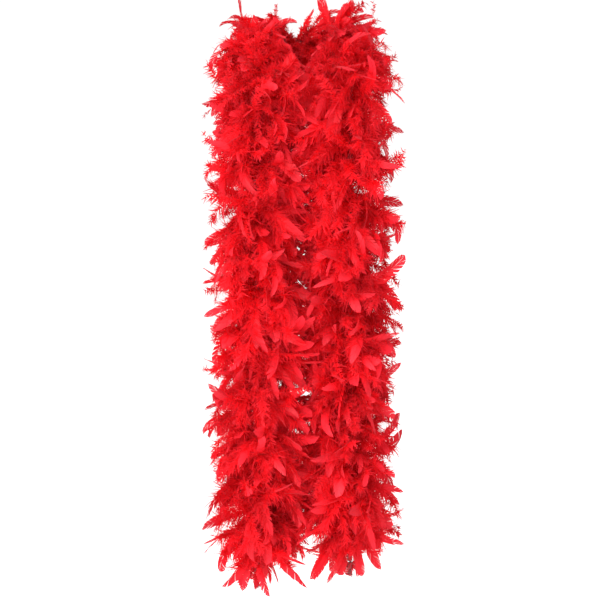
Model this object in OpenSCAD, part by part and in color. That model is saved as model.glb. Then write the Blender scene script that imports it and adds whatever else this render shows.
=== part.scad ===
// Feather boa hung round a neck: a cord dressed with whorls of dyed flats over a bed of down.
// Millimetres, +Z up. The wearer faces -Y, so -Y is the front and +X is the front view's right.
// The origin is where the nape rests against the inner side of the collar's down.

/* [Cord route] */
// Radius of the cord's half ring round the neck
ring_r = 74; // [70:1:84]
// Tilt of the half ring, with the nape high
ring_tilt = 20; // [15:1:25]
// Straight cord over each collar bone
shoulder_run = 25; // [20:1:35]
// Radius of the bend that turns each side down over the chest
bend_r = 100; // [95:1:120]
// Cord below each bend that still belongs to the collar
collar_drop = 40; // [40:1:60]
// Cord below the bend on the left
tail_left = 736; // [700:1:800]
// Cord below the bend on the right
tail_right = 717; // [700:1:800]

/* [Cord and binding] */
// Radius of the core cord
cord_r = 3.5; // [3:0.1:4]
// Gap between two stretches of cord at a pivot
pivot_gap = 0.8; // [0.6:0.1:1.2]
// Wall of the thread wound round the cord at each whorl
thread_wall = 1.5; // [1.2:0.1:1.8]
// Height of each winding of thread
thread_h = 6; // [5:0.5:8]

/* [Feathers] */
// Length of a full feather from its quill to its tip
feather_len = 81; // [76:1:84]
// Length of a feather on a side that lies against the body or the other tail
near_len = 68; // [60:1:70]
// Greatest width of a feather
feather_w = 18; // [12:1:20]
// Thickness of a feather
feather_t = 0.6; // [0.5:0.1:1]
// Angle by which each feather droops along the cord
droop = 33; // [30:1:36]
// Feathers in a whorl
feathers_per_whorl = 6; // [4:2:8]
// Cord from one whorl to the next on the collar
whorl_pitch = 30; // [28:1:32]

/* [Down] */
// Radius of the bed of down
down_r = 25; // [22:1:28]
// Radius of the channel in the down that the cord and its thread fill
down_bore_r = 5.5; // [5.2:0.1:6]

/* [Ends] */
// Length of thread whipped round each end of the cord
whipping_len = 10; // [8:1:14]
// Radius of the knot that stops each end
knot_r = 7; // [6:0.5:9]
// Length of the knot along the cord
knot_len = 12; // [10:1:16]
// Length of the frayed cord below the knot
fray_len = 15; // [10:1:20]

/* [Hidden] */
$fn = 48;

SIDES = ["left", "right"];
links = 4;
quarter = 90;

// The half ring's centre, and the lengths of the route's stretches from the nape.
ring_c = [0, down_r - ring_r * cos(ring_tilt), -ring_r * sin(ring_tilt)];
ring_len = PI * ring_r / 2;
bend_turn = 90 - ring_tilt;
bend_len = PI * bend_r * bend_turn / 180;
bend_at = ring_len + shoulder_run;
drop_at = bend_at + bend_len;
pivot_at = drop_at + collar_drop;

// Where the shoulder run ends, the bend's centre, and the line that a tail hangs on.
run_end = ring_c + [ring_r, -shoulder_run * cos(ring_tilt), -shoulder_run * sin(ring_tilt)];
bend_c = run_end + [0, bend_r * sin(ring_tilt), -bend_r * cos(ring_tilt)];
tail_top = bend_c - [0, bend_r, 0];

// Whorls stand this far below a link's upper pivot, and the last one this far above the next pivot.
first_whorl = 8;
last_whorl = 46;
link_whorls = 5;
// The lowest link has one whorl more, this far above the end of its cord.
end_whorl = 16;
// Quills start this far along the feather's line, clear of the cord and inside the thread.
quill_at = 4.5;
// The down starts this far below a pivot and stops this far above the next one.
down_head = 8;
down_foot = 18;
// Feathers closer than this to the direction of the neck are left out along the ring.
neck_side = 75;
// Feathers closer than this to the direction of the body are short on the bend.
body_side = 50;
// The first whorls on each side of the nape belong to the nape's group.
nape_whorls = 4;
collar_first = 15;
// Sides of a swept tube, and the steps along the collar's swept cord and shoulder down.
hoop_sides = 16;
cord_steps = 28;
down_steps = 15;

function tail_len(side) = side == "left" ? tail_left : tail_right;
function link_len(side) = (tail_len(side) - collar_drop) / links;
function link_pitch(side) = (link_len(side) - first_whorl - last_whorl) / (link_whorls - 1);
function whorl_drops(side, i) = concat(
    [for (k = [0 : link_whorls - 1]) first_whorl + k * link_pitch(side)],
    i == links ? [link_len(side) - end_whorl] : []);
function collar_whorls() = [for (s = collar_first; s <= pivot_at - last_whorl; s = s + whorl_pitch) s];
function off(a, b) = let (d = abs(a - b) % 360) min(d, 360 - d);

// Directions round the cord: 0 is away from the body's middle, 90 is towards the body,
// 180 is towards the middle, and 270 is up or to the front.
function collar_feather(s, a) =
    s < bend_at && off(a, 180) < neck_side ? 0 :
    off(a, 90) < body_side || off(a, 180) < 1 ? near_len :
    feather_len;
function tail_feather(a) = off(a, 180) < 1 ? near_len : feather_len;

// Puts its children on the right-hand route, with -Z along the cord away from the nape.
module on_route(s) {
    if (s < ring_len)
        translate(ring_c) rotate([ring_tilt, 0, 0]) rotate([0, 0, -quarter * s / ring_len])
            translate([0, ring_r, 0]) rotate([0, -quarter, 0]) rotate([0, 0, quarter]) children();
    else if (s < bend_at)
        translate(ring_c + [ring_r, 0, 0]) rotate([ring_tilt - quarter, 0, 0])
            translate([0, 0, ring_len - s]) children();
    else if (s < drop_at)
        translate(bend_c) rotate([ring_tilt + (s - bend_at) / bend_len * bend_turn - quarter, 0, 0])
            translate([0, -bend_r, 0]) children();
    else
        translate(tail_top) translate([0, 0, drop_at - s]) children();
}

module mirrored(side) {
    if (side == "left") mirror([1, 0, 0]) children();
    else children();
}

// The pivot above link i, with -Z down the tail.
module at_link(side, i) {
    mirrored(side) translate(tail_top - [0, 0, collar_drop + (i - 1) * link_len(side)]) children();
}

module at_end(side) {
    mirrored(side) translate(tail_top - [0, 0, tail_len(side)]) children();
}

module ring_section(outer, inner) {
    difference() {
        circle(r = outer);
        circle(r = inner);
    }
}

// A tube of the given section along the half ring.
module ring_tube(outer, inner) {
    translate(ring_c) rotate([ring_tilt, 0, 0]) rotate_extrude(angle = 180, $fn = 96)
        translate([ring_r, 0]) ring_section(outer, inner);
}

// The route at a distance from the nape, positive on the right: [place, outwards, towards the body].
function bend_frame(turn) = [
    bend_c + bend_r * [0, -sin(turn), cos(turn)], [1, 0, 0], [0, sin(turn), -cos(turn)]];
function right_frame(s) =
    s < ring_len ?
        let (a = quarter * s / ring_len,
             out = [sin(a), cos(a) * cos(ring_tilt), cos(a) * sin(ring_tilt)])
        [ring_c + ring_r * out, out, [0, sin(ring_tilt), -cos(ring_tilt)]] :
    s < bend_at ?
        let (start = bend_frame(ring_tilt))
        [start[0] + (bend_at - s) * [0, cos(ring_tilt), sin(ring_tilt)], start[1], start[2]] :
    s < drop_at ? bend_frame(ring_tilt + (s - bend_at) / bend_len * bend_turn) :
        [tail_top - [0, 0, s - drop_at], [1, 0, 0], [0, 1, 0]];
function flip(v) = [-v[0], v[1], v[2]];
function frame_at(s) = let (f = right_frame(abs(s))) s < 0 ? [for (v = f) flip(v)] : f;

// A ring of points round the route.
function hoop(s, r) = let (f = frame_at(s))
    [for (j = [0 : hoop_sides - 1]) let (a = j * 360 / hoop_sides)
        f[0] + r * (cos(a) * f[1] + sin(a) * f[2])];

// One closed tube swept along the route: stations are [distance, radius], with a bore unless it is 0.
module sweep(stations, bore) {
    n = hoop_sides;
    m = len(stations);
    outer = [for (st = stations) each hoop(st[0], st[1])];
    inner = bore > 0 ? [for (st = stations) each hoop(st[0], bore)] : [];
    last = (m - 1) * n;
    shift = m * n;
    around = [for (j = [0 : n - 1]) [j, (j + 1) % n]];
    wall = [for (i = [0 : m - 2], p = around)
        [i * n + p[0], i * n + p[1], i * n + n + p[1], i * n + n + p[0]]];
    bore_wall = [for (q = wall) [for (k = [3 : -1 : 0]) q[k] + shift]];
    caps = bore > 0 ?
        [for (p = around) each [
            [p[1], p[0], shift + p[0], shift + p[1]],
            [last + p[0], last + p[1], last + shift + p[1], last + shift + p[0]]]] :
        [[for (j = [n - 1 : -1 : 0]) j], [for (j = [0 : n - 1]) last + j]];
    polyhedron(points = concat(outer, inner), faces = concat(wall, bore > 0 ? bore_wall : [], caps));
}

// One feather: a flat blade from a narrow quill to a pointed tip, drooping along the cord.
module feather(len) {
    quill = 0.8;
    rotate([0, droop, 0]) translate([quill_at, 0, -feather_t / 2]) linear_extrude(height = feather_t)
        polygon([
            [0, -quill], [0.25 * len, -0.34 * feather_w], [0.62 * len, -feather_w / 2], [len, 0],
            [0.62 * len, feather_w / 2], [0.25 * len, 0.34 * feather_w], [0, quill]]);
}

// Turns every second whorl by half the angle between two feathers.
function whorl_turn(k) = (k % 2) * 180 / feathers_per_whorl;
function whorl_angles(k) = [for (j = [0 : feathers_per_whorl - 1])
    whorl_turn(k) + j * 360 / feathers_per_whorl];

module collar_feathers(side, ks) {
    whorls = collar_whorls();
    mirrored(side) for (k = ks)
        on_route(whorls[k]) for (a = whorl_angles(k))
            if (collar_feather(whorls[k], a) > 0)
                rotate([0, 0, a]) feather(collar_feather(whorls[k], a));
}

module winding() {
    translate([0, 0, -thread_h / 2]) linear_extrude(height = thread_h)
        ring_section(cord_r + thread_wall, cord_r);
}

// The cord from one first pivot round the neck to the other, with rounded ends.
module core_cord_collar() {
    reach = pivot_at - cord_r - pivot_gap / 2;
    tip = [for (a = [80, 55, 30]) [reach + cord_r * sin(a), cord_r * cos(a)]];
    run = [for (k = [-cord_steps : cord_steps]) [k * reach / cord_steps, cord_r]];
    color("darkred") sweep(concat(
        [for (t = tip) [-t[0], t[1]]], run, [for (k = [len(tip) - 1 : -1 : 0]) tip[k]]), 0);
}

module binding_collar() {
    color("maroon") for (side = SIDES, s = collar_whorls())
        mirrored(side) on_route(s) winding();
}

module feathers_nape() {
    color("crimson") for (side = SIDES) collar_feathers(side, [0 : nape_whorls - 1]);
}

module feathers_shoulder(side) {
    color("red") collar_feathers(side, [nape_whorls : len(collar_whorls()) - 1]);
}

module down_nape() {
    color("firebrick") ring_tube(down_r, down_bore_r);
}

module down_shoulder(side) {
    reach = pivot_at - down_foot - ring_len;
    color("indianred") mirrored(side)
        sweep([for (k = [0 : down_steps]) [ring_len + k * reach / down_steps, down_r]], down_bore_r);
}

module core_cord_link(side, i) {
    head = cord_r + pivot_gap / 2;
    foot = i == links ? link_len(side) : link_len(side) - head;
    color("darkred") at_link(side, i) union() {
        translate([0, 0, -head]) sphere(r = cord_r);
        translate([0, 0, -foot]) cylinder(r = cord_r, h = foot - head);
        if (i < links) translate([0, 0, -foot]) sphere(r = cord_r);
    }
}

module binding_link(side, i) {
    color("maroon") at_link(side, i) for (drop = whorl_drops(side, i))
        translate([0, 0, -drop]) winding();
}

module feathers_link(side, i) {
    drops = whorl_drops(side, i);
    color(i % 2 == 0 ? "crimson" : "red") at_link(side, i)
        for (k = [0 : len(drops) - 1], a = whorl_angles(k))
            translate([0, 0, -drops[k]]) rotate([0, 0, a]) feather(tail_feather(a));
}

module down_link(side, i) {
    foot = i == links ? link_len(side) - end_whorl : link_len(side) - down_foot;
    color("firebrick") at_link(side, i) translate([0, 0, -foot])
        linear_extrude(height = foot - down_head) ring_section(down_r, down_bore_r);
}

// Thread wound round the last of the cord, below the lowest whorl's own winding.
module end_whipping(side) {
    color("maroon") at_end(side) translate([0, 0, 1])
        linear_extrude(height = whipping_len) ring_section(cord_r + thread_wall, cord_r);
}

// A round stopper knot, waisted like two turns of cord.
module end_knot(side) {
    turn_r = knot_len / 4;
    color("brown") at_end(side) rotate_extrude() union() {
        translate([0, -knot_len]) square([knot_r - turn_r, knot_len]);
        for (k = [1, 3]) translate([knot_r - turn_r, -k * turn_r]) circle(r = turn_r, $fn = 32);
    }
}

// The cord's plies, spread like a brush below the knot.
module frayed_end(side) {
    color("darkred") at_end(side) translate([0, 0, -knot_len]) rotate_extrude()
        polygon([[0, 0], [0.7 * cord_r, 0], [1.6 * cord_r, -fray_len], [0, -fray_len]]);
}

core_cord_collar();
binding_collar();
feathers_nape();
down_nape();
for (side = SIDES) {
    feathers_shoulder(side);
    down_shoulder(side);
    end_whipping(side);
    end_knot(side);
    frayed_end(side);
    for (i = [1 : links]) {
        core_cord_link(side, i);
        binding_link(side, i);
        feathers_link(side, i);
        down_link(side, i);
    }
}
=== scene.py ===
"""Feather boa: dyed flats and down bound round a plied cord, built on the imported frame.

Metres, +Z up, -Y to the front. The boa hangs round a neck: a half ring of cord, a run over each
collar bone, a bend over the chest and a plumb tail on each side.
"""

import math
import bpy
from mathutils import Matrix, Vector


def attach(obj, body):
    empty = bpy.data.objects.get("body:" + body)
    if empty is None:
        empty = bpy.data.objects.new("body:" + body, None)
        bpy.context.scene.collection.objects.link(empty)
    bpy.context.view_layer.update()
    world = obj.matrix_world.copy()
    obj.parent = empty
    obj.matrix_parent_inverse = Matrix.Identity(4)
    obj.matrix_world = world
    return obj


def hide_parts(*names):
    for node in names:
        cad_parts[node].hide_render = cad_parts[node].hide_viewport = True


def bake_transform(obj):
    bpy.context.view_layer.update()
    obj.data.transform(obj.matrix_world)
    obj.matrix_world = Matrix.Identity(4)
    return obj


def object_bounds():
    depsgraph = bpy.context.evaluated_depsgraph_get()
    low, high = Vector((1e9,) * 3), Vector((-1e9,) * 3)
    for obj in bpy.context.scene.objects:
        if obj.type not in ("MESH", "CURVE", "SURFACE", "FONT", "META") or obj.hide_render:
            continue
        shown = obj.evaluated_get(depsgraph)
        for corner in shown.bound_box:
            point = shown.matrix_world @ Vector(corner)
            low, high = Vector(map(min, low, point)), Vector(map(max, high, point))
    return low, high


bl_info = {
    "name": "Feather boa",
    "version": (1, 0, 0),
    "blender": (4, 5, 0),
    "location": "View3D > Sidebar > Boa",
    "description": "Builds a feather boa's cord, knots, flats and down round its frame",
    "category": "Add Mesh",
}

import bpy
import numpy as np
from bpy.props import FloatProperty, FloatVectorProperty, IntProperty, PointerProperty
from mathutils import Vector

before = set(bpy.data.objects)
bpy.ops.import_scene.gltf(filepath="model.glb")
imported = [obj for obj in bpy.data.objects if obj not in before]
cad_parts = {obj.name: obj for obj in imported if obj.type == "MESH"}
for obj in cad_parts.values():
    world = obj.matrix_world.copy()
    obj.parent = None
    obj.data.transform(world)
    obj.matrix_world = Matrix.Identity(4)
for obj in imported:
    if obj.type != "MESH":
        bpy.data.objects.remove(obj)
CAD_BOX = [list(corner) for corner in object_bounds()]
# The quills stay this near the frame's outline: 3% of each side and 2 mm.
ROOM = np.array(CAD_BOX) + np.array([[-1.0], [1.0]]) * (0.03 * np.ptp(CAD_BOX, axis=0) + 0.002)

# The cord's route, as in the frame: distances run from the nape down each side.
RING_R = 0.074
RING_TILT = math.radians(20)
SHOULDER_RUN = 0.025
BEND_R = 0.100
COLLAR_DROP = 0.040
DOWN_R = 0.025
CORD_R = 0.0035
PIVOT_GAP = 0.0008
KNOT_LEN = 0.012
FRAY_LEN = 0.015
WHIPPING_LEN = 0.010
TAIL = {"left": 0.736, "right": 0.717}
SIDES = {"left": -1.0, "right": 1.0}
LINKS = 4
RIGHT_ANGLE = math.pi / 2
FULL_TURN = 2 * math.pi

COS_TILT, SIN_TILT = math.cos(RING_TILT), math.sin(RING_TILT)
RING_C = np.array([0.0, DOWN_R - RING_R * COS_TILT, -RING_R * SIN_TILT])
RING_LEN = RING_R * RIGHT_ANGLE
BEND_AT = RING_LEN + SHOULDER_RUN
DROP_AT = BEND_AT + BEND_R * (RIGHT_ANGLE - RING_TILT)
PIVOT_AT = DROP_AT + COLLAR_DROP
LINK = {side: (TAIL[side] - COLLAR_DROP) / LINKS for side in SIDES}
TAIL_Y = RING_C[1] - SHOULDER_RUN * COS_TILT + BEND_R * SIN_TILT - BEND_R
# The wearer's neck, which the fluff lies against.
NECK_R = 0.043
NECK_FOOT = -0.115
# The opening in the fluff at the throat: a V with its foot at this height, full width this far up,
# and this half width.
THROAT_Z = -0.062
THROAT_RISE = 0.055
THROAT_HALF = 0.052
# Where the collar's piece ends and the first piece across a pivot begins.
COLLAR_END = 0.215
# No quill is bound to the last of the cord, where its whipping is.
BARE_END = 0.012


def cord_end(side):
    """Distance from the nape to the end of that side's cord."""
    return DROP_AT + TAIL[side]


def column(values):
    """The values with a last axis of one, to scale vectors."""
    return np.asarray(values, float)[..., None]


def unit(v):
    """The vectors scaled to length one."""
    return v / np.maximum(np.linalg.norm(v, axis=-1, keepdims=True), 1e-9)


def route(s, sign):
    """The cord's line at distances s: place, outward, bodyward and downstream directions.

    A half circle of radius RING_R tilted by RING_TILT, a straight run, an arc of radius BEND_R
    that turns down to plumb, and a plumb line, each beginning where the one before it ends.
    """
    s = np.asarray(s, float)
    a = column(np.clip(s / RING_LEN, 0, 1) * RIGHT_ANGLE)
    up = np.array([0.0, COS_TILT, SIN_TILT])
    out = np.sin(a) * [1.0, 0.0, 0.0] + np.cos(a) * up
    turn = column(RING_TILT + np.clip((s - BEND_AT) / BEND_R, 0, RIGHT_ANGLE - RING_TILT))
    zero = np.zeros_like(turn)
    arc = np.concatenate([zero, SIN_TILT - np.sin(turn), np.cos(turn) - COS_TILT], axis=-1)
    run = column(np.clip(s - RING_LEN, 0, SHOULDER_RUN)) * [0.0, -COS_TILT, -SIN_TILT]
    drop = column(np.maximum(s - DROP_AT, 0)) * [0.0, 0.0, -1.0]
    place = RING_C + RING_R * out + run + BEND_R * arc + drop
    bodyward = np.concatenate([zero, np.sin(turn), -np.cos(turn)], axis=-1)
    along_ring = np.cos(a) * [1.0, 0.0, 0.0] - np.sin(a) * up
    along_fall = np.concatenate([zero, -np.cos(turn), -np.sin(turn)], axis=-1)
    along = np.where(column(s) < RING_LEN, along_ring, along_fall)
    mirror = np.array([sign, 1.0, 1.0])
    return place * mirror, out * mirror, bodyward * mirror, along * mirror


# ---------------------------------------------------------------- meshes

def new_mesh(name, verts, quads, uv, tone=None):
    """An object from corners and quads, with a map for its pattern and, if given, a tone for each
    corner."""
    verts = np.asarray(verts, np.float32).reshape(-1, 3)
    quads = np.asarray(quads, np.int32).reshape(-1, 4)
    mesh = bpy.data.meshes.new(name)
    mesh.vertices.add(len(verts))
    mesh.vertices.foreach_set("co", verts.ravel())
    mesh.loops.add(quads.size)
    mesh.loops.foreach_set("vertex_index", quads.ravel())
    mesh.polygons.add(len(quads))
    mesh.polygons.foreach_set("loop_start", np.arange(0, quads.size, 4, dtype=np.int32))
    mesh.update(calc_edges=True)
    layer = mesh.uv_layers.new(name="pattern")
    layer.data.foreach_set("uv", np.asarray(uv, np.float32).reshape(-1, 2)[quads.ravel()].ravel())
    if tone is not None:
        mesh.attributes.new("tone", "FLOAT", "POINT").data.foreach_set(
            "value", np.asarray(tone, np.float32).ravel())
    mesh.polygons.foreach_set("use_smooth", np.full(len(quads), True))
    mesh.validate()
    obj = bpy.data.objects.new(name, mesh)
    bpy.context.scene.collection.objects.link(obj)
    return obj


def grid_quads(rows, cols, wrap=False):
    """Quads of one grid of rows by cols corners, joined round its columns if wrap is true."""
    last = cols if wrap else cols - 1
    i, j = np.meshgrid(np.arange(rows - 1), np.arange(last), indexing="ij")
    k = (j + 1) % cols
    return np.stack([i * cols + j, i * cols + k, (i + 1) * cols + k, (i + 1) * cols + j], axis=-1)


def repeated_quads(quads, corners, count):
    """The same quads for count copies of a shape that has that many corners."""
    return (quads.reshape(1, -1, 4) + np.arange(count)[:, None, None] * corners).reshape(-1, 4)


def paint(obj, material):
    """Gives the object its material."""
    obj.data.materials.clear()
    obj.data.materials.append(material)
    return obj


# ---------------------------------------------------------------- feathers

GROUND = np.array([0.0, 0.0, -1.0])
# Steps along a quill's line, and the turn from one tuft to the next.
STEPS = 25
GOLDEN_ANGLE = math.pi * (3 - math.sqrt(5))
# Directions round the cord, in radians: 0 is away from the body's middle, a right angle is
# towards the body, and half a turn is towards the middle. The front is a right angle back.
TOWARDS_BODY = RIGHT_ANGLE
TOWARDS_MIDDLE = math.pi
TO_FRONT = -RIGHT_ANGLE
# One tuft in this many is pressed round towards the other tail, over the chest and below it.
PRESSED_EVERY = 4
PRESSED_ON_CHEST = 3.05
PRESSED_BELOW = 2.62
# Shares by which the fluff reaches less than its radius on the neck, on the chest, outside the
# shoulders and in front of them, and more between the tails.
LESS_ON_NECK = 0.62
LESS_ON_CHEST = 0.20
LESS_OUTSIDE = 0.15
LESS_IN_FRONT = 0.26
MORE_BETWEEN = 0.42
# Share of the feathers near each end that hang past the knot, and the stretch that they hang from.
HANGING_SHARE = 0.28
ENDING = 0.10


def feather_field(side, first, last, rng, look):
    """Places the quills between two distances along one side, in tufts bound together, and gives
    each feather its habit: how far out it reaches, half width, first slope from the radial line
    (lift), further fall, and the way it sweeps (0 is down the cord, positive is round it).

    Tuft k stands k golden angles round the cord, except the pressed ones. The reach is the fluff's
    radius, less on the neck, the chest and the shoulders, and more between the tails.
    """
    per = look.feathers_per_tuft
    tufts = int(round((last - first) * look.feathers_per_metre / per))
    count = tufts * per
    order = np.arange(tufts)
    s = first + (order + rng.uniform(0, 1, tufts)) / tufts * (last - first)
    pressed = (order % PRESSED_EVERY == 0) & (s > BEND_AT)
    angle = np.cumsum(~pressed) * GOLDEN_ANGLE + rng.normal(0, 0.3, tufts)
    pressed_to = rng.normal(0, 0.28, tufts) + np.where(s < DROP_AT, PRESSED_ON_CHEST, PRESSED_BELOW)
    angle = np.where(pressed, pressed_to, angle)
    lift = rng.uniform(-4, 42, tufts)
    fall = rng.uniform(35, 95, tufts)
    sweep = rng.normal(0, 0.75, tufts) + np.where(rng.uniform(0, 1, tufts) < 0.10, 2.4, 0.0)
    s, angle, lift, fall, sweep, pressed = (
        np.repeat(v, per) for v in (s, angle, lift, fall, sweep, pressed))
    s = np.clip(s + rng.normal(0, 0.004, count), first, last)
    angle = (angle + rng.normal(0, 1, count) * np.where(pressed, 0.25, 0.45)) % FULL_TURN
    lift = np.radians(lift + rng.normal(0, 15, count))
    fall = np.radians(fall + rng.normal(0, 18, count))
    sweep += rng.normal(0, 0.65, count)
    place, out, bodyward, along = route(s, SIDES[side])
    radial = np.cos(column(angle)) * out + np.sin(column(angle)) * bodyward
    narrow = rng.uniform(0, 1, count) < look.narrow_share
    width = np.where(narrow, rng.uniform(0.0016, 0.0032, count),
                     look.feather_width / 2 * rng.uniform(0.6, 1.1, count))

    def near(target, spread):
        """1 in that direction round the cord, falling to 0 at the spread."""
        away = np.abs((angle - target + math.pi) % FULL_TURN - math.pi)
        return np.clip(1 - away / spread, 0, 1)

    lumps = np.sin(s * 47 + 2.1 * SIDES[side]) * np.sin(s * 29 + angle)
    reach = look.fluff_radius * (1 + 0.05 * lumps) * rng.uniform(0.72, 1.08, count)
    past_neck = s > BEND_AT + 0.02
    on_neck = near(TOWARDS_MIDDLE, 1.25) * ~past_neck
    on_chest = near(TOWARDS_BODY, 1.0) * (s > RING_LEN) * (s < DROP_AT)
    between = near(np.where(s < DROP_AT, 2.9, 2.5), 1.0) * past_neck
    outer = near(0.0, 1.6) * (s < BEND_AT)
    upper = near(TO_FRONT, 1.5) * (s < DROP_AT)
    reach *= 1 - LESS_ON_NECK * np.sqrt(on_neck) - LESS_ON_CHEST * on_chest \
        - LESS_OUTSIDE * outer - LESS_IN_FRONT * upper + MORE_BETWEEN * between
    # Behind the neck, the ones that would stand up are shorter and lie over.
    upright = near(TO_FRONT, 1.8) * np.clip(1.3 - s / 0.10, 0, 1)
    reach *= 1 - 0.38 * upright
    lift += 0.25 * upright
    fall += 0.7 * upright
    fall *= 1 - 0.6 * between
    lift += 0.5 * on_neck
    # The last feathers hang more steeply, and only a few reach below the cord's end.
    ending = np.clip(1 - (cord_end(side) - s) / ENDING, 0, 1)
    lift += ending * np.radians(rng.uniform(5, 42, count))
    reach *= 1 - 0.18 * ending
    sweep *= 1 - ending
    end_z = float(route(cord_end(side), 1.0)[0][2])
    hanging = (rng.uniform(0, 1, count) < HANGING_SHARE) & (ending > 0.30)
    lift = np.where(hanging, np.radians(rng.uniform(50, 85, count)), lift)
    fall = np.where(hanging, np.radians(rng.uniform(0, 30, count)), fall)
    foot = end_z + np.where(hanging, -KNOT_LEN - FRAY_LEN * rng.uniform(0, 0.95, count),
                            rng.uniform(0.006, 0.034, count))
    plume = (rng.uniform(0, 1, count) < look.plume_share) & ~hanging & ~pressed
    reach *= np.where(plume, 0.87, 1.0)
    return {"side": side, "count": count, "place": place, "radial": radial, "along": along,
            "reach": reach, "lift": lift, "fall": fall, "sweep": sweep, "width": width,
            "foot": foot, "end_z": end_z, "plume": plume}


def kept_near(root, line, foot):
    """Shortens lines, given from their roots, so that they stay in the room round the frame, above
    their foot and out of the neck: each is scaled by the least share of it that fits."""
    low = np.broadcast_to(ROOM[0], root.shape).copy()
    low[..., 2] = foot
    over = np.maximum(line.max(-2) / np.maximum(ROOM[1] - root, 1e-4),
                      line.min(-2) / np.minimum(low - root, -1e-4)).max(-1)
    line = line / np.maximum(over, 1.0)[..., None, None]
    place = root[..., None, :] + line
    in_neck = np.linalg.norm(place[..., :2] - RING_C[:2], axis=-1) < NECK_R
    in_neck &= place[..., 2] > NECK_FOOT
    free = np.where(in_neck.any(-1), in_neck.argmax(-1) / (line.shape[-2] - 1), 1.0)
    return line * np.maximum(free, 0.2)[..., None, None]


def quill_lines(field, rng, longest):
    """Each quill's curve: it leaves the cord along `radial` and turns by `lift` to `lift + fall`
    towards the ground and down the cord, or aside by `sweep`, with a slight curl; its length is
    what brings it out to its reach, at most the longest; summed from its directions."""
    n = field["count"]
    down = 0.55 * field["along"] + 0.85 * GROUND
    e = unit(field["radial"])
    g = unit(down - (down * e).sum(-1, keepdims=True) * e)
    aside = np.cross(e, g)
    sweep = column(field["sweep"])
    g, b = np.cos(sweep) * g + np.sin(sweep) * aside, np.cos(sweep) * aside - np.sin(sweep) * g
    u = np.linspace(0, 1, STEPS)[None, :]
    bow = rng.uniform(0.9, 2.6, n)[:, None]
    angle = field["lift"][:, None] + field["fall"][:, None] * u ** bow
    curl = rng.normal(0, 0.34, n)[:, None] * u ** 1.6
    heading = unit(column(np.cos(angle)) * e[:, None] + column(np.sin(angle)) * g[:, None]
                   + column(curl) * b[:, None])
    outward = (heading * e[:, None]).sum(-1).mean(1)
    length = np.clip(field["reach"] / np.maximum(outward, 0.3), 0.0, longest)
    step = length[:, None, None] / (STEPS - 1)
    path = np.cumsum((heading[:, 1:] + heading[:, :-1]) / 2 * step, axis=1)
    path = np.concatenate([np.zeros((n, 1, 3)), path], axis=1)
    root = field["place"] + e * CORD_R * 0.9
    path = kept_near(root, path, field["foot"])
    twist = rng.normal(0, 0.5, n)[:, None] + rng.normal(0, 0.8, n)[:, None] * u
    flat = unit(b[:, None] - (b[:, None] * heading).sum(-1, keepdims=True) * heading)
    face = np.cross(heading, flat)
    across = np.cos(column(twist)) * flat + np.sin(column(twist)) * face
    return root[:, None] + path, heading, across, np.cross(heading, across)


def sample(lines, u):
    """The lines' values at fractions u of their length, straight between steps."""
    at = np.clip(np.asarray(u, float), 0, 1) * (STEPS - 1)
    low = np.minimum(at.astype(int), STEPS - 2)
    part = column(at - low)
    return lines[:, low] * (1 - part) + lines[:, low + 1] * part


# Strips on each side of a shaft, where the vane begins and ends along it, and how far its strips
# lean forward.
BARBS = 9
VANE_FROM = 0.30
VANE_TO = 0.985
LEAN = 0.13
# Corners across one strip, from the shaft (0) to the edge (1).
ACROSS = np.array([0.03, 0.5, 1.0])
# The shaft's sides, steps, radius at its root, and end along the feather.
SHAFT_SIDES = 3
SHAFT_STEPS = 5
SHAFT_R = 0.0008
SHAFT_TO = 0.95


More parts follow.
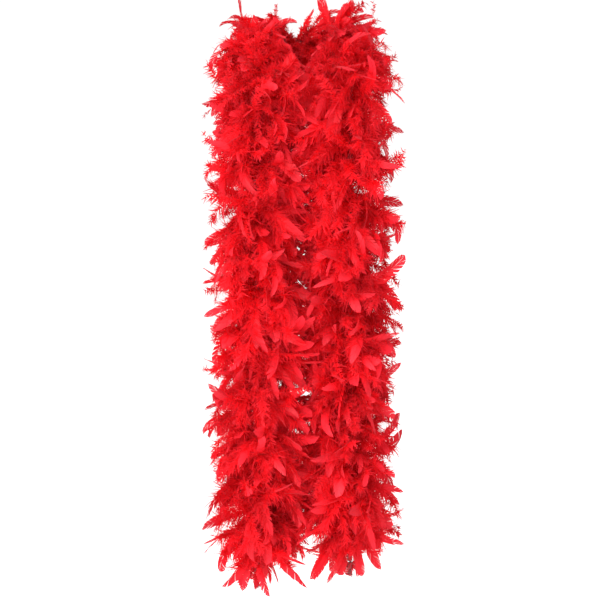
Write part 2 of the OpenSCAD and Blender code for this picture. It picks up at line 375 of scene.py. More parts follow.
def vane_mesh(name, field, lines, rng):
    """Flat feathers: on each side of the shaft, strips run forward from the shaft to the outline.

    A strip's place is path(u + LEAN v) + side * v * h(u) * across + dish * h * v^2 * normal, with
    the half width h(u) rising as (u - from)^0.75 and closing as (1 - u^p)^0.62; p differs on the two
    sides, so that a tip is pointed, rounded or cut obliquely. Gaps open between some strips' ends.
    """
    vaned = ~field["plume"]
    path, _, across, normal = (line[vaned] for line in lines)
    width = field["width"][vaned]
    n = len(path)
    edges = VANE_FROM + (VANE_TO - VANE_FROM) * np.linspace(0, 1, BARBS + 1) ** 0.92
    verts, uvs = [], []
    sharp = np.exp(rng.normal(1.6, 0.75, (n, 2)))
    dish = rng.normal(0.25, 0.35, n)[:, None, None]
    for k, side in enumerate((-1.0, 1.0)):
        u = edges[:, None] + LEAN * ACROSS[None, :] * (1 - edges[:, None] * 0.35)
        u = np.minimum(u, 1.0)
        rise = np.clip((u - VANE_FROM) / (1 - VANE_FROM), 0, 1)
        h = width[:, None, None] * np.minimum(1, (rise[None] * 3.0) ** 0.75) \
            * np.clip(1 - rise[None] ** sharp[:, k, None, None], 0, 1) ** 0.62
        offset = h * ACROSS[None, None, :]
        place = sample(path, u) + column(side * offset) * sample(across, u) \
            + column(dish * offset * ACROSS[None, None, :]) * sample(normal, u)
        # Two rows a strip, each strip apart from the next.
        strip = np.stack([place[:, :-1], place[:, 1:]], axis=2)
        middle = strip.mean(axis=2, keepdims=True)
        gap = 0.55 * rng.uniform(0, 1, (n, BARBS)) ** 3
        pull = column(gap[:, :, None, None] * ACROSS[None, None, None, :] ** 2)
        strip = strip * (1 - pull) + middle * pull
        ruffle = rng.normal(0, 0.0006, (n, BARBS))[:, :, None, None] * ACROSS[None, None, None, :]
        strip = strip + column(ruffle) * sample(normal, edges[:-1])[:, :, None, None]
        verts.append(strip)
        pattern = np.stack(np.broadcast_arrays(u, 0.5 + 0.5 * side * ACROSS[None, :]), axis=-1)
        pattern = np.stack([pattern[:-1], pattern[1:]], axis=1)[None]
        uvs.append(np.broadcast_to(pattern, strip.shape[:-1] + (2,)))
    verts = np.stack(verts, axis=1)
    uvs = np.stack(uvs, axis=1)
    cols = len(ACROSS)
    quads = grid_quads(2, cols).reshape(-1, 4)
    per_feather = 2 * BARBS * 2 * cols
    left = repeated_quads(quads, 2 * cols, BARBS)
    right = repeated_quads(quads[:, ::-1], 2 * cols, BARBS) + BARBS * 2 * cols
    vane_quads = repeated_quads(np.concatenate([left, right]), per_feather, n)
    # The shaft thins from its root to its tip.
    u = np.linspace(0, SHAFT_TO, SHAFT_STEPS + 1)
    r = SHAFT_R * (1 - 0.8 * u)
    turn = np.arange(SHAFT_SIDES) * FULL_TURN / SHAFT_SIDES
    ring = column(np.cos(turn)) * sample(across, u)[:, :, None] \
        + column(np.sin(turn)) * sample(normal, u)[:, :, None]
    shaft = sample(path, u)[:, :, None] + r[None, :, None, None] * ring
    per_shaft = SHAFT_SIDES * (SHAFT_STEPS + 1)
    shaft_quads = grid_quads(SHAFT_STEPS + 1, SHAFT_SIDES, wrap=True).reshape(-1, 4)
    shaft_quads = repeated_quads(shaft_quads, per_shaft, n) + n * per_feather
    middle_line = np.full((1, SHAFT_SIDES), 0.5)
    shaft_uv = np.stack(np.broadcast_arrays(u[:, None], middle_line), axis=-1)[None]
    shaft_uv = np.broadcast_to(shaft_uv, shaft.shape[:-1] + (2,))
    tone = rng.normal(0, 1, n)
    all_verts = np.concatenate([verts.reshape(-1, 3), shaft.reshape(-1, 3)])
    all_uv = np.concatenate([uvs.reshape(-1, 2), shaft_uv.reshape(-1, 2)])
    all_tone = np.concatenate([np.repeat(tone, per_feather), np.repeat(tone + 0.6, per_shaft)])
    all_quads = np.concatenate([vane_quads, shaft_quads])
    return new_mesh(name, rest_on_neck(all_verts, field["side"]), all_quads, all_uv, all_tone)


# Corners along one downy barb, and how far up a flat or a plume they grow.
BARB_STEPS = 3
DOWN_TO_ON_FLAT = 0.64
DOWN_TO_ON_PLUME = 0.94
# How far up they all stand round the quill, and the share in two rows above that.
BED_TO = 0.24
IN_ROWS = 0.80
# The lowest down stays this far above the end of the cord.
DOWN_CLEAR = 0.016


def down_mesh(name, field, lines, rng, look):
    """Downy barbs: ribbons that leave the lower part of each quill, or all of a plume's, most of them
    in two rows, like a loose vane; those near its root stand all round it.

    A barb's place is root + length * (t * head + t^2 * (sag * ground + wave * across + puff * normal)),
    and its half width is w * (1 - 0.86 t)^0.7.
    """
    path, heading, across, normal = lines
    n = field["count"]
    per = look.barbs_per_feather
    plume = field["plume"][:, None]
    start = rng.beta(1.15, 1.2, (n, per)) * np.where(plume, DOWN_TO_ON_PLUME, DOWN_TO_ON_FLAT) + 0.02
    at = np.minimum((start * (STEPS - 1)).astype(int), STEPS - 1)
    pick = np.arange(n)[:, None]
    root, ahead = path[pick, at], heading[pick, at]
    in_row = (rng.uniform(0, 1, (n, per)) < IN_ROWS) & (start > BED_TO)
    row = math.pi * rng.integers(0, 2, (n, per)) + rng.normal(0, 0.32, (n, per))
    spin = np.where(in_row, row, rng.uniform(0, FULL_TURN, (n, per)))
    lean = np.radians(rng.uniform(26, 74, (n, per)))
    around = column(np.cos(spin)) * across[pick, at] + column(np.sin(spin)) * normal[pick, at]
    head = column(np.cos(lean)) * ahead + column(np.sin(lean)) * around
    length = look.barb_length * rng.uniform(0.55, 1.1, (n, per)) * np.where(plume, 1 - 0.5 * start, 1)
    length *= np.clip(field["reach"] / look.fluff_radius, 0.35, 1)[:, None]
    flatwise = unit(np.cross(normal[pick, at], head))
    facing = np.cross(head, flatwise)
    t = np.linspace(0, 1, BARB_STEPS)[None, None, :]
    sag = column(rng.uniform(0.02, 0.35, (n, per))[:, :, None] * t ** 2)
    wave = column(rng.normal(0, 0.20, (n, per))[:, :, None] * t ** 2)
    puff = column(rng.normal(0, 0.20, (n, per))[:, :, None] * t ** 2)
    line = length[:, :, None, None] * (
        column(t) * head[:, :, None] + sag * GROUND
        + wave * flatwise[:, :, None] + puff * facing[:, :, None])
    place = root[:, :, None] + kept_near(root, line, field["end_z"] + DOWN_CLEAR)
    turn = column(rng.normal(0, 0.35, (n, per))[:, :, None] * t)
    ribbon = flatwise[:, :, None] * np.cos(turn) + facing[:, :, None] * np.sin(turn)
    half = column(look.barb_width / 2 * rng.uniform(0.7, 1.3, (n, per))[:, :, None]
                  * (1 - 0.86 * t) ** 0.7)
    verts = np.stack([place - half * ribbon, place + half * ribbon], axis=3)
    quads = repeated_quads(grid_quads(BARB_STEPS, 2).reshape(-1, 4), 2 * BARB_STEPS, n * per)
    # How far out along the feather each corner lies; the dye group paints shade near the root and light
    # near the tip from it.
    reach = 0.35 * start[:, :, None] + 0.65 * t
    uv = np.stack(np.broadcast_arrays(reach[..., None], np.array([0.0, 1.0])), axis=-1)
    tone = np.repeat(rng.normal(0, 1, n), per * BARB_STEPS * 2)
    return new_mesh(name, rest_on_neck(verts.reshape(-1, 3), field["side"]), quads, uv, tone)


def rest_on_neck(verts, side):
    """Moves corners inside the neck out to its surface, in level planes, and those in front of the
    throat aside, to their own side of a V whose foot is at THROAT_Z.

    At height z the V is THROAT_HALF * (z - THROAT_Z) / THROAT_RISE to each side, up to THROAT_HALF,
    a little uneven with height and depth.
    """
    verts = verts.copy()
    away = verts[:, :2] - RING_C[:2]
    distance = np.linalg.norm(away, axis=1)
    inside = (distance < NECK_R) & (verts[:, 2] > NECK_FOOT)
    wanted = NECK_R + 0.10 * distance
    scale = np.where(inside, wanted / np.maximum(distance, 1e-4), 1.0)
    verts[:, :2] = RING_C[:2] + away * scale[:, None]
    sign = SIDES[side]
    uneven = 0.84 + 0.16 * np.sin(310 * verts[:, 2] + 170 * verts[:, 1])
    half = THROAT_HALF * np.clip((verts[:, 2] - THROAT_Z) / THROAT_RISE, 0, 1) * uneven
    own = verts[:, 0] * sign
    part = np.clip((own + half) / np.maximum(2 * half, 1e-6), 0, 1)
    open_x = half * (0.74 + 0.26 * part)
    front = (half > 0) & (own < half) & (verts[:, 1] < RING_C[1])
    verts[:, 0] = np.where(front, open_x, own) * sign
    return verts


def spans():
    """Every stretch of the boa: name, (side, first, last), and the body its piece rides on, or for one
    across a pivot, the bodies above and below it, its side and its link.
    """
    result = []
    for side in SIDES:
        result.append((f"collar_{side}", (side, 0.0, COLLAR_END), "collar"))
        first = COLLAR_END
        for i in range(1, LINKS + 1):
            last = PIVOT_AT + (i - 0.5) * LINK[side]
            upper = "collar" if i == 1 else f"{side}_{i - 1}"
            result.append((f"{side}_{i}", (side, first, last), (upper, f"{side}_{i}", side, i)))
            first = last
        result.append((f"{side}_end", (side, first, cord_end(side) - BARE_END), f"{side}_{LINKS}"))
    return result


def hold(piece, held_by):
    """Rides the piece on a body; a piece across a pivot has its place baked into its mesh and rides on
    nothing.
    """
    if isinstance(held_by, str):
        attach(piece, held_by)
        return
    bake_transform(piece)


def stood_for(prefix, name):
    """The frame's nodes that a span's piece stands for."""
    if name.startswith("collar"):
        side = name.split("_")[1]
        return [n for n in (f"{prefix}_nape", f"{prefix}_{side}_shoulder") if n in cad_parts]
    return [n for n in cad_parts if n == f"{prefix}_{name}"]


def make_span(kind, prefix, builder, material, seed):
    """One piece for each stretch of the boa, made by the builder from that stretch's quills."""
    for number, (name, stretch, held_by) in enumerate(spans()):
        rng = np.random.default_rng(seed + number)
        field = feather_field(*stretch, rng, bpy.context.scene.boa)
        lines = quill_lines(field, rng, bpy.context.scene.boa.feather_length)
        piece = builder(f"{kind}_{name}", field, lines, rng)
        paint(piece, material)
        hold(piece, held_by)
        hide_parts(*stood_for(prefix, name))


# ---------------------------------------------------------------- materials

def node(tree, kind, at=(0, 0), **values):
    """A new node in the tree, at that place in its editor, with those properties."""
    made = tree.nodes.new(kind)
    made.location = at
    for key, value in values.items():
        setattr(made, key, value)
    return made


def new_group(name, colours, numbers, height):
    """A node group with those inputs, that puts out a colour and a height of that name."""
    tree = bpy.data.node_groups.new(name, "ShaderNodeTree")
    for socket in colours:
        tree.interface.new_socket(socket, in_out="INPUT", socket_type="NodeSocketColor")
    for socket in numbers:
        tree.interface.new_socket(socket, in_out="INPUT", socket_type="NodeSocketFloat")
    tree.interface.new_socket("Colour", in_out="OUTPUT", socket_type="NodeSocketColor")
    tree.interface.new_socket(height, in_out="OUTPUT", socket_type="NodeSocketFloat")
    return tree


def group_in(material, name, build):
    """A node for the group of that name in the material, built once."""
    placed = node(material.node_tree, "ShaderNodeGroup", (-450, 100))
    placed.node_tree = bpy.data.node_groups.get(name) or build(name)
    return placed


def bumped(material, height, strength):
    """Raises the material's surface by the height."""
    bump = node(material.node_tree, "ShaderNodeBump", (-200, -200))
    bump.inputs["Strength"].default_value = strength
    bump.inputs["Distance"].default_value = 0.0004
    material.node_tree.links.new(height, bump.inputs["Height"])
    surface = material.node_tree.nodes["Principled BSDF"]
    material.node_tree.links.new(bump.outputs[0], surface.inputs["Normal"])


def barbs_dye_shade_light_group(name):
    """Node group: a feather's colour runs from a darker root, painted shade, through the dye to a
    lighter tip, painted light let through the thin vane; its own tone and streaks across the shaft, of
    that strength, vary it. Puts out the colour and the streaks' height."""
    tree = new_group(name, ("RootShade", "Dye", "TipLight"), ("Streaks",), "Ridges")
    link = tree.links.new
    given = node(tree, "NodeGroupInput", (-1300, 300))
    uv = node(tree, "ShaderNodeUVMap", (-1300, 0), uv_map="pattern")
    along = node(tree, "ShaderNodeSeparateXYZ", (-1100, 0))
    link(uv.outputs[0], along.inputs[0])
    # The colour runs from painted shade at the root to the dye, then to painted light at the tip.
    colour = given.outputs["RootShade"]
    for start, end, socket in ((0.05, 0.5, "Dye"), (0.5, 0.95, "TipLight")):
        part = node(tree, "ShaderNodeMapRange", (-800, 300 * start))
        part.inputs["From Min"].default_value = start
        part.inputs["From Max"].default_value = end
        link(along.outputs[0], part.inputs["Value"])
        mix = node(tree, "ShaderNodeMix", (-500, 300 * start), data_type="RGBA")
        link(part.outputs[0], mix.inputs["Factor"])
        link(colour, mix.inputs["A"])
        link(given.outputs[socket], mix.inputs["B"])
        colour = mix.outputs["Result"]
    stretch = node(tree, "ShaderNodeMapping", (-1100, -250))
    stretch.inputs["Scale"].default_value = (60, 4, 1)
    link(uv.outputs[0], stretch.inputs[0])
    noise = node(tree, "ShaderNodeTexNoise", (-900, -250))
    noise.inputs["Scale"].default_value = 1.0
    noise.inputs["Detail"].default_value = 2.0
    link(stretch.outputs[0], noise.inputs["Vector"])
    tone = node(tree, "ShaderNodeAttribute", (-900, -500), attribute_name="tone")
    own = node(tree, "ShaderNodeMath", (-600, -450), operation="MULTIPLY_ADD")
    own.inputs[1].default_value = 0.08
    own.inputs[2].default_value = 1.0
    link(tone.outputs["Fac"], own.inputs[0])
    centred = node(tree, "ShaderNodeMath", (-600, -250), operation="SUBTRACT")
    centred.inputs[1].default_value = 0.5
    link(noise.outputs["Fac"], centred.inputs[0])
    value = node(tree, "ShaderNodeMath", (-400, -300), operation="MULTIPLY_ADD")
    link(centred.outputs[0], value.inputs[0])
    link(given.outputs["Streaks"], value.inputs[1])
    link(own.outputs[0], value.inputs[2])
    shade = node(tree, "ShaderNodeHueSaturation", (-150, 100))
    link(colour, shade.inputs["Color"])
    link(value.outputs[0], shade.inputs["Value"])
    given_back = node(tree, "NodeGroupOutput", (100, 0))
    link(shade.outputs[0], given_back.inputs["Colour"])
    link(noise.outputs["Fac"], given_back.inputs["Ridges"])
    return tree


def fibres_group(name):
    """Node group: fibres of two shades, where noise of that scale mixes them. Puts out the colour
    and the fibres' height."""
    tree = new_group(name, ("Dark", "Light"), ("Scale",), "Fibres")
    link = tree.links.new
    given = node(tree, "NodeGroupInput", (-900, 200))
    place = node(tree, "ShaderNodeTexCoord", (-900, -100))
    noise = node(tree, "ShaderNodeTexNoise", (-650, -100))
    noise.inputs["Detail"].default_value = 5.0
    link(place.outputs["Object"], noise.inputs["Vector"])
    link(given.outputs["Scale"], noise.inputs["Scale"])
    mix = node(tree, "ShaderNodeMix", (-350, 150), data_type="RGBA")
    link(noise.outputs["Fac"], mix.inputs["Factor"])
    link(given.outputs["Dark"], mix.inputs["A"])
    link(given.outputs["Light"], mix.inputs["B"])
    given_back = node(tree, "NodeGroupOutput", (0, 0))
    link(mix.outputs["Result"], given_back.inputs["Colour"])
    link(noise.outputs["Fac"], given_back.inputs["Fibres"])
    return tree


def feather_material(name, look, through, roughness, streaks, ridges):
    """Dyed feather: soft, a little sheeny, and let through by the light."""
    material = bpy.data.materials.new(name)
    material.use_nodes = True
    tree = material.node_tree
    link = tree.links.new
    barbs = group_in(material, "dyed_barbs", barbs_dye_shade_light_group)
    # The root colour is painted shade deep in the fluff, and the tip colour is painted light let
    # through the thin tips.
    barbs.inputs["RootShade"].default_value = (*look.root_shade_colour, 1)
    barbs.inputs["Dye"].default_value = (*look.dye_colour, 1)
    barbs.inputs["TipLight"].default_value = (*look.tip_light_colour, 1)
    barbs.inputs["Streaks"].default_value = streaks
    surface = tree.nodes["Principled BSDF"]
    link(barbs.outputs["Colour"], surface.inputs["Base Color"])
    surface.inputs["Roughness"].default_value = roughness
    surface.inputs["Sheen Weight"].default_value = 0.12
    surface.inputs["Sheen Roughness"].default_value = 0.35
    surface.inputs["Sheen Tint"].default_value = (1.0, 0.55, 0.60, 1)
    surface.inputs["Specular IOR Level"].default_value = 0.25
    if ridges:
        bumped(material, barbs.outputs["Ridges"], ridges)
    glow = node(tree, "ShaderNodeBsdfTranslucent", (50, -300))
    link(barbs.outputs["Colour"], glow.inputs["Color"])
    mix = node(tree, "ShaderNodeMixShader", (350, 0))
    mix.inputs[0].default_value = through
    link(surface.outputs[0], mix.inputs[1])
    link(glow.outputs[0], mix.inputs[2])
    link(mix.outputs[0], tree.nodes["Material Output"].inputs["Surface"])
    return material


def fibre_material(name, dark, light, scale, roughness):
    """Dyed cotton: fibres of two shades run along the ply, with a soft uneven surface."""
    material = bpy.data.materials.new(name)
    material.use_nodes = True
    surface = material.node_tree.nodes["Principled BSDF"]
    fibres = group_in(material, "cotton_fibres", fibres_group)
    fibres.inputs["Dark"].default_value = (*dark, 1)
    fibres.inputs["Light"].default_value = (*light, 1)
    fibres.inputs["Scale"].default_value = scale
    material.node_tree.links.new(fibres.outputs["Colour"], surface.inputs["Base Color"])
    bumped(material, fibres.outputs["Fibres"], 0.5)
    surface.inputs["Roughness"].default_value = roughness
    surface.inputs["Sheen Weight"].default_value = 0.4
    return material


# ---------------------------------------------------------------- cord and ends

# Plies in the cord, the length in which they wind once round, and the depth of the groove between
# two, as a share of the radius.
PLIES = 3
PLY_PITCH = 0.014
PLY_DEPTH = 0.22
# The knot's curve: how far it spreads and rises, the radius of the cord drawn tight in it, and its
# pitch there.
KNOT_SPREAD = 0.00165
KNOT_RISE = 0.0036
KNOT_CORD_R = 0.0024
KNOT_PITCH = 0.009
# Fibres in a frayed end, and their radius.
FIBRES = 46
FIBRE_R = 0.00028
# The whipping's thread.
THREAD_R = 0.00045


def frames_along(path):
    """Directions along a path and two square to it, carried along without turning."""
    ahead = unit(np.gradient(path, axis=0))
    side = np.empty_like(ahead)
    seed = np.array([0.0, 1.0, 0.0]) if abs(ahead[0, 1]) < 0.9 else np.array([1.0, 0.0, 0.0])
    side[0] = unit(seed - seed @ ahead[0] * ahead[0])
    for i in range(1, len(path)):
        flat = side[i - 1] - side[i - 1] @ ahead[i] * ahead[i]
        side[i] = unit(flat)
    return ahead, side, np.cross(ahead, side)


def swept_tube(path, radius, sides=12, plies=0, pitch=1.0):
    """A tube along a path, whose surface is radius * (1 - PLY_DEPTH * (1 - |sin(plies / 2 * (angle -
    turn))|)) from its line, where turn goes once round in a pitch, so that the plies wind; both
    ends close to a point."""
    _, side, other = frames_along(path)
    distance = np.concatenate([[0], np.cumsum(np.linalg.norm(np.diff(path, axis=0), axis=1))])
    angle = np.arange(sides) * FULL_TURN / sides
    turn = distance[:, None] / pitch * FULL_TURN
    lobes = 1 - PLY_DEPTH * (1 - np.abs(np.sin(plies / 2 * (angle[None] - turn)))) if plies else 1.0
    r = np.asarray(radius, float) * np.ones(len(path))
    r = r[:, None] * lobes * np.ones((len(path), sides))
    r[0] = r[-1] = 1e-5
    verts = path[:, None] + column(r) * (np.cos(angle)[None, :, None] * side[:, None]
                                         + np.sin(angle)[None, :, None] * other[:, None])
    u = np.broadcast_to(distance[:, None], r.shape)
    v = np.broadcast_to(angle[None] / FULL_TURN, r.shape)
    quads = grid_quads(len(path), sides, wrap=True).reshape(-1, 4)
    return verts.reshape(-1, 3), quads, np.stack([u, v], -1)


def cord_stretch(name, path, material):
    """A plied cord along the path, rounded at both ends: at a distance d from its nearer end the
    radius is CORD_R * sqrt(1 - (1 - d / CORD_R)^2), and from CORD_R inwards it is CORD_R."""
    distance = np.concatenate([[0], np.cumsum(np.linalg.norm(np.diff(path, axis=0), axis=1))])
    inwards = np.minimum(np.minimum(distance, distance[-1] - distance) / CORD_R, 1)
    radius = CORD_R * np.sqrt(1 - (1 - inwards) ** 2)
    verts, quads, uv = swept_tube(path, radius, sides=18, plies=PLIES, pitch=PLY_PITCH)
    return paint(new_mesh(name, verts, quads, uv), material)


def path_between(first, last, sign, step=0.0012):
    """Places along the cord between two distances from the nape, a step apart; negative distances
    are on the other side."""
    s = np.linspace(first, last, max(2, int(abs(last - first) / step)))
    place = route(np.abs(s), 1.0)[0]
    place[:, 0] *= np.where(s < 0, -1.0, 1.0) * sign
    return place


def make_cords(material):
    """The core cord: one stretch round the neck, and one in each link of the tails."""
    gap = PIVOT_GAP / 2
    reach = PIVOT_AT - gap
    path = path_between(-reach, reach, 1.0)
    collar = cord_stretch("core_cord_round_neck", path, material)
    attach(collar, "collar")
    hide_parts("core_cord_collar")
    for side, sign in SIDES.items():
        for i in range(1, LINKS + 1):
            top = PIVOT_AT + (i - 1) * LINK[side] + gap
            foot = PIVOT_AT + i * LINK[side] - (gap if i < LINKS else 0)
            path = path_between(top, foot, sign)
            piece = cord_stretch(f"core_cord_{side}_{i}_plied", path, material)
            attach(piece, f"{side}_{i}")
            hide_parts(f"core_cord_{side}_{i}")


def make_ends(cord_material, thread_material):
    """Each end's knot, frayed plies and whipping.

    The knot is a three-lobed curve (sin t + 2 sin 2t, cos t - 2 cos 2t, -sin 3t), drawn tight.
    """
    for side, sign in SIDES.items():
        end = route(cord_end(side), sign)[0]
        t = np.linspace(0, FULL_TURN, 120)
        lobes = [np.sin(t) + 2 * np.sin(2 * t), np.cos(t) - 2 * np.cos(2 * t), -np.sin(3 * t)]
        knot = np.stack(lobes, -1) * [KNOT_SPREAD, KNOT_SPREAD, KNOT_RISE]
        knot = end + [0, 0, -KNOT_LEN / 2] + knot
        verts, quads, uv = swept_tube(knot, KNOT_CORD_R, sides=12, plies=PLIES, pitch=KNOT_PITCH)
        piece = paint(new_mesh(f"end_knot_{side}_tied", verts, quads, uv), cord_material)
        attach(piece, f"{side}_{LINKS}")
        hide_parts(f"end_knot_{side}")
        make_fray(side, end, cord_material)
        make_whipping(side, end, thread_material)


def make_fray(side, end, material):
    """The frayed plies: fibres spread like a brush below the knot, each bowed outwards."""
    rng = np.random.default_rng(71 if side == "left" else 72)
    verts, quads, uvs = [], [], []
    first = 0
    for _ in range(FIBRES):
        angle = rng.uniform(0, FULL_TURN)
        spread = rng.uniform(0.1, 1.0)
        t = np.linspace(0, 1, 7)[:, None]
        away = np.array([math.cos(angle), math.sin(angle), 0.0])
        start = end + away * 0.0022 * spread + [0, 0, -KNOT_LEN + 0.001]
        length = FRAY_LEN * rng.uniform(0.6, 1.0)
        path = start + t * [0, 0, -length] + away * 0.0045 * spread * t ** 1.6 \
            + rng.normal(0, 0.0006, 3) * np.sin(t * 5)
        corners, faces, uv = swept_tube(path, FIBRE_R, sides=4)
        verts.append(corners)
        quads.append(faces + first)
        uvs.append(uv.reshape(-1, 2))
        first += len(corners)
    piece = new_mesh(f"frayed_end_{side}_fibres", np.concatenate(verts), np.concatenate(quads),
                     np.concatenate(uvs))
    paint(piece, material)
    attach(piece, f"{side}_{LINKS}")
    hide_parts(f"frayed_end_{side}")


def make_whipping(side, end, material):
    """Thread wound round the cord's end: one tube on a helix that climbs a thread's width a turn,
    from a millimetre above the end."""
    pitch = 2 * THREAD_R
    turns = int((WHIPPING_LEN - pitch) / pitch)
    t = np.linspace(0, turns * FULL_TURN, turns * 16)
    radius = CORD_R + THREAD_R
    height = 0.001 + THREAD_R + t / FULL_TURN * pitch
    path = end + np.stack([radius * np.cos(t), radius * np.sin(t), height], -1)
    verts, quads, uv = swept_tube(path, THREAD_R, sides=6)
    piece = paint(new_mesh(f"end_whipping_{side}_wound", verts, quads, uv), material)
    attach(piece, f"{side}_{LINKS}")
    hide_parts(f"end_whipping_{side}")


# ---------------------------------------------------------------- stage

# The camera looks at this point from this far up, and its frame is this wide there.
AIM = Vector((-0.0055, TAIL_Y, -0.426))
ELEVATION = math.radians(3.5)
LENS = 85.0
SENSOR = 36.0
FRAME_WIDTH = 0.948
# The paper behind shows white, and lights the boa less than it shows.
PAPER_SEEN = 1.05
PAPER_LIGHT = 0.48
FLOOR_Z = -1.4
FLOOR_HALF = 40.0
# The lights aim at the middle of the tails.
LIT = Vector((0.0, TAIL_Y, -0.4))


def make_camera(scene):
    """A long lens straight in front, a little above the middle."""
    camera = bpy.data.objects.new("camera", bpy.data.cameras.new("camera"))
    scene.collection.objects.link(camera)
    camera.data.lens = LENS
    back = Vector((0.0, -math.cos(ELEVATION), math.sin(ELEVATION)))
    camera.location = AIM + back * (FRAME_WIDTH * LENS / SENSOR)
    camera.rotation_euler = (-back).to_track_quat("-Z", "Y").to_euler()
    scene.camera = camera


def make_world(scene):
    """White paper all round: one strength for the light it gives, another as it is seen."""
    world = bpy.data.worlds.new("studio")
    world.use_nodes = True
    tree = world.node_tree
    backdrop = tree.nodes["Background"]
    backdrop.inputs["Color"].default_value = (1, 1, 1, 1)
    seen = node(tree, "ShaderNodeLightPath", (-600, 0))
    power = node(tree, "ShaderNodeMapRange", (-300, 0))
    power.inputs["To Min"].default_value = PAPER_LIGHT
    power.inputs["To Max"].default_value = PAPER_SEEN
    tree.links.new(seen.outputs["Is Camera Ray"], power.inputs["Value"])
    tree.links.new(power.outputs[0], backdrop.inputs["Strength"])
    scene.world = world


def make_floor(scene):
    """A plain pale floor that shows as white as the paper."""
    r = FLOOR_HALF
    corners = [(-r, -r, FLOOR_Z), (r, -r, FLOOR_Z), (r, r, FLOOR_Z), (-r, r, FLOOR_Z)]
    floor = bpy.data.objects.new("floor", bpy.data.meshes.new("floor"))
    floor.data.from_pydata(corners, [], [(0, 1, 2, 3)])
    scene.collection.objects.link(floor)
    paper = bpy.data.materials.new("pale_floor")
    paper.use_nodes = True
    tree = paper.node_tree
    surface = tree.nodes["Principled BSDF"]
    surface.inputs["Base Color"].default_value = (0.93, 0.93, 0.93, 1)
    surface.inputs["Roughness"].default_value = 0.9
    surface.inputs["Emission Color"].default_value = (1, 1, 1, 1)
    seen = node(tree, "ShaderNodeLightPath", (-600, 0))
    bright = node(tree, "ShaderNodeMath", (-300, 0), operation="MULTIPLY")
    bright.inputs[1].default_value = 0.7
    tree.links.new(seen.outputs["Is Camera Ray"], bright.inputs[0])
    tree.links.new(bright.outputs[0], surface.inputs["Emission Strength"])
    floor.data.materials.append(paper)


def soft_light(scene, name, place, power):
    """A square soft box two metres wide, aimed at the middle of the tails."""
    light = bpy.data.objects.new(name, bpy.data.lights.new(name, "AREA"))
    light.data.shape = "RECTANGLE"
    light.data.size = 2.0
    light.data.size_y = 2.0
    light.data.energy = power
    light.location = place
    light.rotation_euler = (LIT - Vector(place)).to_track_quat("-Z", "Y").to_euler()
    scene.collection.objects.link(light)


def make_stage():
    """The camera, the paper, the floor, the key and fill lights, and a soft light from overhead."""
    scene = bpy.context.scene
    scene.view_settings.view_transform = "Standard"
    make_camera(scene)
    make_world(scene)
    make_floor(scene)
    soft_light(scene, "key", (-0.9, -1.6, 0.15), 55)
    soft_light(scene, "fill", (1.5, -2.8, 0.0), 12)
    sun = bpy.data.objects.new("overhead", bpy.data.lights.new("overhead", "SUN"))
    sun.data.energy = 0.4
    sun.data.angle = math.radians(40)
    sun.rotation_euler = (math.radians(25), 0, math.radians(-30))
    scene.collection.objects.link(sun)


# ---------------------------------------------------------------- settings, operators, panel

class BoaSettings(bpy.types.PropertyGroup):
    """What a maker would change: how full the boa is, its feathers' sizes, its dye, and the painted
    shade at the roots and painted light at the tips
    """
    feathers_per_metre: IntProperty(
        name="Feathers per metre", description="Feathers bound to each metre of cord",
        default=1180, min=50)
    feathers_per_tuft: IntProperty(
        name="Feathers in a tuft", description="Feathers bound to the cord together", default=4, min=1)
    plume_share: FloatProperty(
        name="Plume share", description="Share of the feathers that are down to their tips",
        default=0.54, min=0, max=1, subtype="FACTOR")
    feather_length: FloatProperty(
        name="Feather length", description="Greatest length of a feather", default=0.112, unit="LENGTH")
    fluff_radius: FloatProperty(
        name="Fluff radius", description="How far out the feathers reach", default=0.070, unit="LENGTH")
    feather_width: FloatProperty(
        name="Flat width", description="Greatest width of a flat's vane", default=0.0195, unit="LENGTH")
    narrow_share: FloatProperty(
        name="Narrow share", description="Share of the flats that are thin slivers",
        default=0.12, min=0, max=1, subtype="FACTOR")
    barbs_per_feather: IntProperty(
        name="Downy barbs", description="Locks of loose barbs on each quill", default=152, min=1)
    barb_length: FloatProperty(
        name="Barb length", description="Length of a downy barb", default=0.026, unit="LENGTH")
    barb_width: FloatProperty(
        name="Barb width", description="Width of a lock of barbs at its root",
        default=0.0019, unit="LENGTH")
    # Painted shade: a darker red at the roots stands in for the shade deep in the fluff.
    root_shade_colour: FloatVectorProperty(
        name="RootShade", description="Dye where the light barely reaches", subtype="COLOR",
        default=(0.84, 0.004, 0.010))
    dye_colour: FloatVectorProperty(
        name="Dye", description="Main colour of the dye", subtype="COLOR",
        default=(0.90, 0.012, 0.025))
    # Painted light: a lighter, pinker red at the tips stands in for light let through the thin vanes.
    tip_light_colour: FloatVectorProperty(
        name="TipLight", description="Colour of the thin tips", subtype="COLOR",
        default=(0.94, 0.033, 0.056))


class BOA_OT_stage(bpy.types.Operator):
    """Adds the pale floor, the soft lights and the camera"""
    bl_idname = "boa.stage"
    bl_label = "Stage"

    def execute(self, context):
        make_stage()
        return {"FINISHED"}


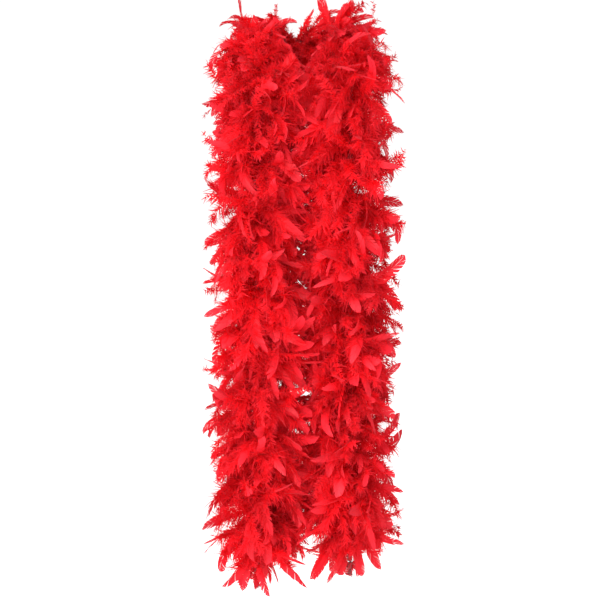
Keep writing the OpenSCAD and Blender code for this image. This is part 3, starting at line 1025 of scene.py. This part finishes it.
class BOA_OT_cords(bpy.types.Operator):
    """Adds the knots, frayed ends and whippings, and the plied core cord in its stretches"""
    bl_idname = "boa.cords"
    bl_label = "Cord and ends"

    def execute(self, context):
        cord = fibre_material("dyed_cotton_cord", (0.22, 0.002, 0.006), (0.50, 0.010, 0.022), 900, 0.8)
        thread = fibre_material("dyed_thread", (0.30, 0.003, 0.008), (0.62, 0.012, 0.024), 1500, 0.55)
        make_ends(cord, thread)
        make_cords(cord)
        for name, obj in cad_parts.items():
            if name.startswith("binding"):
                obj.data.materials.clear()
                obj.data.materials.append(thread)
        return {"FINISHED"}


class BOA_OT_flats(bpy.types.Operator):
    """Adds the flat feathers, one piece to each stretch of the boa"""
    bl_idname = "boa.flats"
    bl_label = "Flat feathers"

    def execute(self, context):
        look = context.scene.boa
        material = feather_material("dyed_flat", look, through=0.38, roughness=0.50, streaks=0.35,
                                    ridges=0.2)
        make_span("flats", "feathers", vane_mesh, material, 100)
        return {"FINISHED"}


class BOA_OT_down(bpy.types.Operator):
    """Adds the down, one piece to each stretch of the boa"""
    bl_idname = "boa.down"
    bl_label = "Down"

    def execute(self, context):
        look = context.scene.boa
        material = feather_material("dyed_down", look, through=0.50, roughness=0.7, streaks=0.15,
                                    ridges=0)

        def builder(name, field, lines, rng):
            return down_mesh(name, field, lines, rng, look)

        make_span("down", "down", builder, material, 100)
        return {"FINISHED"}


class BOA_PT_panel(bpy.types.Panel):
    """Lists the boa's pieces and their settings"""
    bl_idname = "BOA_PT_panel"
    bl_label = "Feather boa"
    bl_space_type = "VIEW_3D"
    bl_region_type = "UI"
    bl_category = "Boa"

    def draw(self, context):
        for name in BoaSettings.__annotations__:
            self.layout.prop(context.scene.boa, name)
        for step in STEPS_IN_ORDER:
            self.layout.operator(step.bl_idname)


STEPS_IN_ORDER = (BOA_OT_stage, BOA_OT_cords, BOA_OT_flats, BOA_OT_down)
CLASSES = (BoaSettings, *STEPS_IN_ORDER, BOA_PT_panel)


# ---------------------------------------------------------------- registering and running

def register():
    """Adds the settings, the operators and the panel."""
    for cls in CLASSES:
        bpy.utils.register_class(cls)
    bpy.types.Scene.boa = PointerProperty(type=BoaSettings)


def unregister():
    """Takes away what register added."""
    del bpy.types.Scene.boa
    for cls in reversed(CLASSES):
        bpy.utils.unregister_class(cls)


def main():
    """Adds the settings and builds the stage, the cord and ends, the flats and the down."""
    register()
    bpy.ops.boa.stage()
    bpy.ops.boa.cords()
    bpy.ops.boa.flats()
    bpy.ops.boa.down()


if __name__ == "__main__":
    main()
